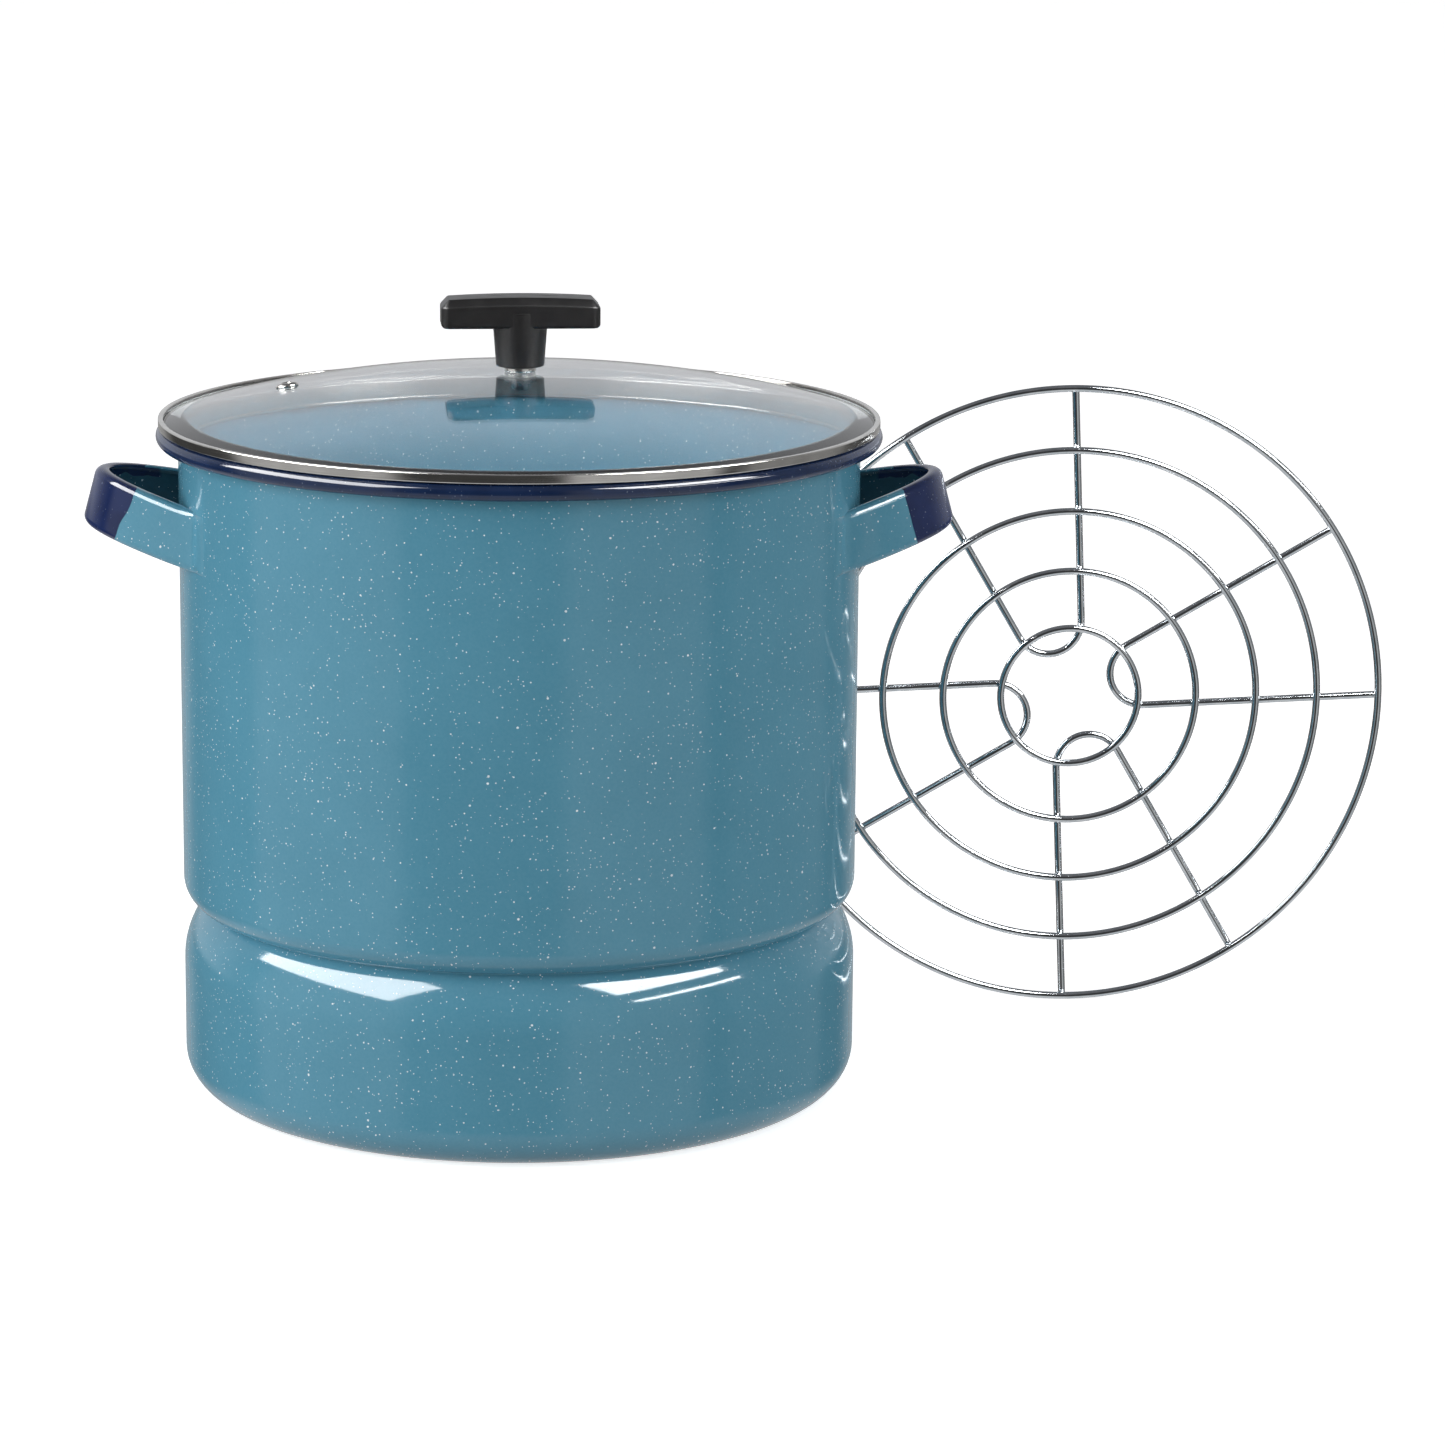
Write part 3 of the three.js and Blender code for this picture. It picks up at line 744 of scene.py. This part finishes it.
def shell_side(inset):
    """One side of the pot's sheet, from the middle of the base to the end of the rolled edge."""
    valley = wall_radius - groove_depth + groove_fillet
    across_low = valley - (wall_radius - shoulder_radius)
    across_high = valley - (wall_radius - bulge_radius)
    low_span = shoulder_radius + groove_fillet
    high_span = bulge_radius + groove_fillet
    shoulder_height = groove_height - math.sqrt(low_span**2 - across_low**2)
    bulge_height = groove_height + math.sqrt(high_span**2 - across_high**2)
    low_angle = math.degrees(math.acos(across_low / low_span))
    high_angle = math.degrees(math.acos(across_high / high_span))
    roll_centre = (rim_radius - rim_roll, pot_height - rim_roll)
    flare_centre = (wall_radius + rim_flare, pot_height - wall_sheet - rim_flare)
    corner_centre = (wall_radius - base_corner, base_corner)
    wall_low = bulge_height + 4 * MM
    wall_high = flare_centre[1] - 4 * MM
    wall = [(wall_radius - inset, wall_low + (wall_high - wall_low) * i / 12) for i in range(13)]
    return [
        (0, inset),
        (0.6 * wall_radius, inset),
        *arc(corner_centre, base_corner - inset, -90, 0, 14),
        *arc((wall_radius - shoulder_radius, shoulder_height), shoulder_radius - inset, 0, low_angle, 14),
        *arc((valley, groove_height), groove_fillet + inset, 180 + low_angle, 180 - high_angle, 10)[1:-1],
        *arc((wall_radius - bulge_radius, bulge_height), bulge_radius - inset, -high_angle, 0, 14),
        *wall,
        *arc(flare_centre, rim_flare + inset, 180, 90, 10),
        *arc(roll_centre, rim_roll - wall_sheet + inset, 90, rim_curl_end, 28),
    ]


def make_pot():
    profile = [*shell_side(0), *reversed(shell_side(wall_sheet))]
    piece = new_piece("pot_shell", turned(profile, 256, closed=False), pot_enamel)
    settle(piece, "pot", ["pot_body"])


# ---------------------------------------------------------------- strap handles


def strap_line():
    """The middle line of the strap's inner face: along the wall, out in a loop and back."""
    half = strap_spread / 2
    foot_angle = math.asin(half / strap_seat)
    foot_x = strap_seat * math.cos(foot_angle)
    line = []
    for along in (strap_pad, strap_pad / 2, strap_pad / 6):
        angle = foot_angle + along / strap_seat
        line.append(Vector((strap_seat * math.cos(angle), -strap_seat * math.sin(angle), strap_height)))
    for part in (0.035, 0.1, 0.2, 0.3, 0.4):
        reach = strap_reach * 4 * part * (1 - part)
        x = foot_x + reach * math.cos(strap_tilt)
        z = strap_height + reach * math.sin(strap_tilt)
        line.append(Vector((x, -half * (1 - 2 * part), z)))
    far_x = foot_x + strap_reach * math.cos(strap_tilt)
    far = Vector((far_x, 0, strap_height + strap_reach * math.sin(strap_tilt)))
    back = [Vector((point.x, -point.y, point.z)) for point in reversed(line)]
    return smooth_path([*line, far, *back], 1.2 * MM)


def channel_section():
    """The strap's section between its feet, as (outward, across), with its long edges turned in."""
    corner = strap_half_width - strap_corner
    outer = arc((strap_sheet - strap_corner, corner), strap_corner, 0, 90, 8)
    lip_low = strap_sheet - strap_corner
    lip_turn = (-strap_lip + lip_low) / 2
    lip = arc((lip_low + lip_turn * 0.6, strap_half_width - strap_sheet / 2), strap_sheet / 2, 90, 270, 6)
    inner = arc((strap_sheet - strap_corner, corner), strap_corner - strap_sheet, 90, 0, 6)
    half = [*outer, *lip, *inner]
    other = [(outward, -across) for outward, across in reversed(half)]
    return [*half, *other]


def pad_section(count):
    """The foot's section on the wall: flat inside, and run out to nothing at its long edges."""
    crown = strap_sheet * 0.85
    half = []
    outer_count = count // 2 - 13
    for i in range(count // 2):
        if i < outer_count:
            angle = math.pi / 2 * i / (outer_count - 1)
            across = strap_half_width - 3.2 * MM * (1 - math.sin(angle))
            half.append((crown * math.cos(angle) ** 0.8, across))
        else:
            share = (i - outer_count) / 12
            half.append((-0.5 * MM, strap_half_width * (1 - share * 0.45)))
    other = [(outward, -across) for outward, across in reversed(half)]
    return [*half, *other]


def smoothstep(value, low, high):
    share = min(max((value - low) / (high - low), 0.0), 1.0)
    return share * share * (3 - 2 * share)


def mark_strap(piece, channel):
    """Marks which points lie on the strap's inner side, and how far up the strap each one is."""
    inner_side = piece.data.attributes.new("inner_side", "FLOAT", "POINT").data
    strap_across = piece.data.attributes.new("strap_across", "FLOAT", "POINT").data
    for i in range(len(piece.data.vertices)):
        outward, across = channel[i % len(channel)]
        inner = outward < strap_sheet * 0.4 and abs(across) < strap_half_width - strap_sheet * 0.4
        inner_side[i].value = 1.0 if inner else 0.0
        strap_across[i].value = across


def make_handle(side, direction):
    line = strap_line()
    channel = channel_section()
    pad = pad_section(len(channel))
    tilted = Vector((-math.sin(strap_tilt), 0, math.cos(strap_tilt)))
    spacing = (line[1] - line[0]).length
    turn = Matrix.Rotation(direction, 3, "Z")
    rings = []
    for i, centre in enumerate(line):
        along = (line[min(i + 1, len(line) - 1)] - line[max(i - 1, 0)]).normalized()
        from_end = min(i, len(line) - 1 - i) * spacing
        shaped = smoothstep(from_end, strap_pad * 0.8, strap_pad + strap_blend)
        across = UP.lerp(tilted, shaped)
        outward = along.cross(across).normalized()
        across = outward.cross(along).normalized()
        # The foot thins out over its last 4 mm.
        amount = math.sqrt(min(from_end / (4 * MM), 1.0)) * 0.98 + 0.02
        ring = []
        for (out_a, across_a), (out_b, across_b) in zip(pad, channel):
            out_a = out_a * amount if out_a > 0 else out_a
            out = out_a + (out_b - out_a) * shaped
            sideways = across_a + (across_b - across_a) * shaped
            ring.append(turn @ (centre + outward * out + across * sideways))
        rings.append(ring)
    piece = new_piece(f"strap_handle_{side}", skinned(rings), handle_enamel, 50)
    mark_strap(piece, channel)
    settle(piece, "pot", [f"handle_{side}"])


# ---------------------------------------------------------------- glass lid


def dome_height(radius, inset=0.0):
    return dome_centre + math.sqrt((dome_radius - inset) ** 2 - radius**2)


def vent_frame():
    """The vent's own frame: its origin is on top of the glass and its Z points out of the dome."""
    x = vent_radius * math.cos(vent_direction)
    y = vent_radius * math.sin(vent_direction)
    place = Vector((x, y, dome_height(vent_radius)))
    normal = (place - Vector((0, 0, dome_centre))).normalized()
    return Matrix.Translation(place) @ UP.rotation_difference(normal).to_matrix().to_4x4()


def in_vent_frame(bm):
    bm.transform(vent_frame())
    return bm


def make_glass():
    seat_inner = math.sqrt((dome_radius - glass_sheet) ** 2 - (glass_seat - dome_centre) ** 2)
    steps = 40
    under = []
    upper = []
    for i in range(steps + 1):
        share = i / steps
        radius = screw_hole + (seat_inner - screw_hole) * share
        under.append((radius, dome_height(radius, glass_sheet)))
        radius = screw_hole + (glass_radius - screw_hole) * share
        upper.append((radius, dome_height(radius)))
    edge_low = (glass_radius, glass_seat)
    edge_high = upper.pop()
    rim = rounded([under[-1], edge_low, edge_high, upper[-1]], 0.6 * MM)[1:-1]
    profile = [*under, *rim, *reversed(upper)]
    piece = new_piece("glass_dome", turned(profile, 240), glass)
    reach = 12 * MM
    bit = [(0, -reach), (vent_hole, -reach), (vent_hole, reach), (0, reach)]
    drill = turned(bit, 48, closed=False)
    carved(piece, new_piece("vent_drill", in_vent_frame(drill), glass))
    settle(piece, "lid", ["lid_glass"])


def make_band():
    """The folded band: a hemmed skirt, a ledge under the glass and a lip turned down on to it."""
    inside = band_radius - band_sheet
    skirt_inside = skirt_radius - band_sheet
    hem_inside = skirt_inside - hem_fold
    hem_top = band_bottom + hem_height
    lip_radius = band_radius - band_lip
    lip_low = dome_height(lip_radius) + 0.12 * MM
    corners = [
        (hem_inside, band_bottom),
        (skirt_radius, band_bottom),
        (skirt_radius, seat_height),
        (band_radius, seat_height),
        (band_radius, band_top),
        (lip_radius, band_top),
        (lip_radius, lip_low),
        (lip_radius + band_sheet, lip_low),
        (lip_radius + band_sheet, band_top - band_sheet),
        (inside, band_top - band_sheet),
        (inside, seat_height + band_sheet),
        (skirt_inside, seat_height + band_sheet),
        (skirt_inside, hem_top),
        (hem_inside, hem_top),
    ]
    bm = turned(rounded(corners, band_corner, 5, closed=True), 256)
    piece = new_piece("steel_band", bm, steel, 60)
    settle(piece, "lid", ["lid_band"])


def turned_ring(inner, outer, low, high, corner):
    corners = [(inner, low), (outer, low), (outer, high), (inner, high)]
    return turned(rounded(corners, corner, 3, closed=True), 96)


def make_seal():
    """An L-shaped ring: its foot lies between the glass and the ledge, its wall round the glass."""
    low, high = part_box("lid_seal")
    foot_low = seat_height + band_sheet + 0.02 * MM
    foot_high = low.z - 0.03 * MM
    wall_inner = high.x - 0.5 * MM
    corners = [
        (skirt_radius - 0.2 * MM, foot_low),
        (high.x, foot_low),
        (high.x, high.z),
        (wall_inner, high.z),
        (wall_inner, foot_high),
        (skirt_radius - 0.2 * MM, foot_high),
    ]
    bm = turned(rounded(corners, 0.12 * MM, 3, closed=True), 240)
    settle(new_piece("edge_seal", bm, silicone), "lid", ["lid_seal"])


def make_vent():
    """A tubular rivet through the glass, with its gasket underneath."""
    gap = 0.05 * MM
    gasket_top = -glass_sheet - gap
    gasket_low = gasket_top - vent_gasket_sheet
    flare_top = gasket_low - gap
    corners = [
        (eyelet_bore, flare_top - 0.8 * MM),
        (vent_gasket_radius, flare_top - 0.8 * MM),
        (vent_gasket_radius, flare_top),
        (eyelet_tube, flare_top),
        (eyelet_tube, gap),
        (eyelet_head, gap),
        (eyelet_head - 0.05 * MM, 0.7 * MM),
        (3.6 * MM, eyelet_height),
        (2.4 * MM, eyelet_height),
        (eyelet_bore, 1.0 * MM),
    ]
    bm = turned(rounded(corners, 0.5 * MM, 4, closed=True), 96)
    eyelet = new_piece("steam_eyelet", in_vent_frame(bm), steel)
    settle(eyelet, "lid", ["vent_eyelet"])
    bm = turned_ring(vent_hole, vent_gasket_radius, gasket_low, gasket_top, 0.25 * MM)
    gasket = new_piece("steam_gasket", in_vent_frame(bm), silicone)
    settle(gasket, "lid", ["vent_gasket"])


# ---------------------------------------------------------------- knob and its fixing


def bar_ring(inset, drop, from_bottom=False):
    """An outline of the knob's bar, drawn in by inset, drop below its arched top or above its bottom."""
    corner = max(bar_corner - inset, 0.25 * MM)
    half_length = bar_length / 2 - inset - corner
    half_depth = bar_depth / 2 - inset - corner
    sides = 16
    outline = arc((half_length, half_depth), corner, 0, 90, 6)
    outline += [(half_length * (1 - 2 * i / sides), half_depth + corner) for i in range(1, sides)]
    outline += arc((-half_length, half_depth), corner, 90, 180, 6)
    outline += [(x, -y) for x, y in reversed(outline)]
    bottom = knob_foot + stem_height
    ring = []
    for x, y in outline:
        arched = knob_top - bar_arch * (x / (bar_length / 2)) ** 2 - drop
        ring.append(Vector((x, y, bottom + drop if from_bottom else arched)))
    return ring


def make_knob():
    low = rounded([(10 * MM, 0), (1.0 * MM, 0), (0, 1.0 * MM), (0, 3 * MM)], 0.5 * MM)
    high = rounded([(0, 6 * MM), (0, 3 * MM), (3 * MM, 0), (10 * MM, 0)], 0.6 * MM)
    rings = [bar_ring(inset, rise, True) for inset, rise in low]
    rings += [bar_ring(inset, drop) for inset, drop in high]
    bar = new_piece("knob_grip", skinned(rings), black_plastic)
    stem_end = knob_foot + stem_height + bar_height / 2
    side = [
        (5 * MM, knob_foot),
        (stem_foot, knob_foot),
        (stem_top, knob_foot + stem_height),
        (stem_top, stem_end),
    ]
    stem_profile = [(0, knob_foot), *rounded(side, 0.9 * MM, 6), (0, stem_end)]
    stem = new_piece("knob_stem", turned(stem_profile, 96, closed=False), black_plastic)
    carved(bar, stem, "UNION")
    bore_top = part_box("knob_insert")[1].z + 0.1 * MM
    bore_low = knob_foot - 1 * MM
    socket = [(0, bore_low), (knob_bore, bore_low), (knob_bore, bore_top), (0, bore_top)]
    carved(bar, new_piece("knob_bore", turned(socket, 48, closed=False), black_plastic))
    bar.data.transform(Matrix.Rotation(knob_turn, 4, "Z"))
    bar.data.shade_smooth()
    bar.data.set_sharp_from_angle(angle=math.radians(35))
    settle(bar, "lid", ["knob"])


def make_insert():
    """The brass bush moulded into the knob, with a groove that keys it."""
    low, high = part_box("knob_insert")
    outer = (high.x - low.x) / 2
    waist = (low.z + high.z) / 2
    corners = [
        (screw_hole, low.z),
        (outer, low.z),
        (outer, waist - 1.5 * MM),
        (outer - 0.6 * MM, waist - 1 * MM),
        (outer - 0.6 * MM, waist + 1 * MM),
        (outer, waist + 1.5 * MM),
        (outer, high.z),
        (screw_hole, high.z),
    ]
    bm = turned(rounded(corners, 0.3 * MM, 3, closed=True), 64)
    settle(new_piece("brass_insert", bm, brass), "lid", ["knob_insert"])


def make_screw():
    """A pan-head screw from under the glass: cross recess, and thread ridges on its shank."""
    low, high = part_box("knob_screw")
    head_top = low.z + 3 * MM
    pitch = 0.7 * MM
    head = [
        (2.4 * MM, low.z),
        (3.5 * MM, low.z + 0.6 * MM),
        (4 * MM, low.z + 1.8 * MM),
        (4 * MM, head_top),
    ]
    profile = [(0, low.z), *rounded(head, 0.8 * MM), (2 * MM, head_top)]
    height = head_top + 4 * MM
    while height < high.z - 1.2 * pitch:
        profile += [(1.75 * MM, height), (2.05 * MM, height + pitch / 2)]
        height += pitch
    profile += [(1.6 * MM, high.z - 0.2 * MM), (1.2 * MM, high.z), (0, high.z)]
    piece = new_piece("fixing_screw", turned(profile, 64, closed=False), zinc)
    arm, half = 2.0 * MM, 0.45 * MM
    cross = [(arm, -half), (arm, half), (half, half), (half, arm), (-half, arm), (-half, half)]
    cross += [(-x, -y) for x, y in cross]
    rings = []
    for scale, z in ((1.15, low.z - 0.5 * MM), (1.0, low.z + 0.1 * MM), (0.45, low.z + 1.7 * MM)):
        rings.append([Vector((x * scale, y * scale, z)) for x, y in cross])
    carved(piece, new_piece("recess", skinned(rings), zinc))
    piece.data.shade_smooth()
    piece.data.set_sharp_from_angle(angle=math.radians(35))
    settle(piece, "lid", ["knob_screw"])


def make_washer(name, node, surface):
    low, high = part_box(node)
    bm = turned_ring(screw_hole, (high.x - low.x) / 2, low.z, high.z, 0.35 * MM)
    settle(new_piece(name, bm, surface), "lid", [node])


# ---------------------------------------------------------------- wire rack


def on_rack(along, across, lift, turn):
    """A point of the standing rack, from its own flat frame."""
    x = along * math.cos(turn) - across * math.sin(turn)
    z = along * math.sin(turn) + across * math.cos(turn)
    return Vector((rack_centre.x + x, lift, rack_centre.z + z))


def ring_radius(number):
    low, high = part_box(f"rack_ring_{number}")
    return (high.z - low.z) / 2 - wire


def wire_rings(centres, loop, sides=20):
    """Rings of points round a line that lies in the standing rack's plane."""
    rings = []
    count = len(centres)
    for i, centre in enumerate(centres):
        before = centres[i - 1] if loop or i else centre
        after = centres[(i + 1) % count] if loop or i < count - 1 else centre
        along = (after - before).normalized()
        aside = along.cross(BACK).normalized()
        ring = []
        for k in range(sides):
            angle = 2 * math.pi * k / sides
            ring.append(centre + aside * wire * math.cos(angle) + BACK * wire * math.sin(angle))
        rings.append(ring)
    return rings


def make_ring(number):
    radius = ring_radius(number)
    steps = round(2 * math.pi * radius / (2.6 * MM))
    line = [on_rack(radius, 0, rack_centre.y, 2 * math.pi * i / steps) for i in range(steps)]
    bm = skinned(wire_rings(line, True), loop=True)
    piece = new_piece(f"wire_ring_{number}", bm, rack_steel)
    settle(piece, "rack", [f"rack_ring_{number}"])


def hairpin_line():
    """The middle line of one hairpin in the rack's flat frame, as (along, across)."""
    end_across = rack_radius * math.sin(hairpin_end)
    end_along = rack_radius * math.cos(hairpin_end)
    span = math.hypot(end_along - hairpin_centre, end_across)
    splay = math.atan2(end_across, end_along - hairpin_centre) - math.asin(hairpin_loop / span)
    tangent = (hairpin_centre - hairpin_loop * math.sin(splay), hairpin_loop * math.cos(splay))
    leg = [Vector((end_along, end_across)).lerp(Vector(tangent), i / 40) for i in range(40)]
    start = 90 + math.degrees(splay)
    loop = [Vector(point) for point in arc((hairpin_centre, 0), hairpin_loop, start, 360 - start, 40)]
    back = [Vector((point.x, -point.y)) for point in reversed(leg)]
    return [*leg, *loop, *back]


def crossings(line, radius):
    """Where the line crosses a circle about the rack's middle."""
    found = []
    for before, after in zip(line, line[1:]):
        inner, outer = before.length - radius, after.length - radius
        if inner * outer < 0:
            found.append(before.lerp(after, inner / (inner - outer)))
    return found


def weld_bead(bm, centre, across, along):
    """A small squashed bead of metal between two wires that cross."""
    facing = Matrix((along, across, BACK)).transposed().to_4x4()
    matrix = Matrix.Translation(centre) @ facing @ Matrix.Diagonal((*bead_size, 1))
    bmesh.ops.create_icosphere(bm, subdivisions=3, radius=1, matrix=matrix)


def make_hairpin(number):
    turn = hairpin_turn + (number - 1) * math.pi / 2
    flat = hairpin_line()
    line = resampled([on_rack(point.x, point.y, hairpin_plane, turn) for point in flat], 2.0 * MM)
    bm = skinned(wire_rings(line, False))
    touch = (rack_centre.y + hairpin_plane) / 2
    for ring in range(1, 6):
        for point in crossings(flat, ring_radius(ring) - 0.01 * MM):
            place = on_rack(point.x, point.y, touch, turn)
            radial = (place - on_rack(0, 0, touch, turn)).normalized()
            weld_bead(bm, place, radial, radial.cross(BACK))
    piece = new_piece(f"wire_hairpin_{number}", bm, rack_steel)
    settle(piece, "rack", [f"rack_hairpin_{number}"])


# ---------------------------------------------------------------- the whole object

make_pot()
make_handle("right", 0)
make_handle("left", math.pi)
make_glass()
make_band()
make_seal()
make_vent()
make_knob()
make_insert()
make_screw()
make_washer("top_washer", "knob_washer_upper", steel)
make_washer("under_gasket", "knob_gasket", silicone)
make_washer("under_washer", "knob_washer_lower", zinc)
for ring_number in range(1, 6):
    make_ring(ring_number)
for hairpin_number in range(1, 5):
    make_hairpin(hairpin_number)
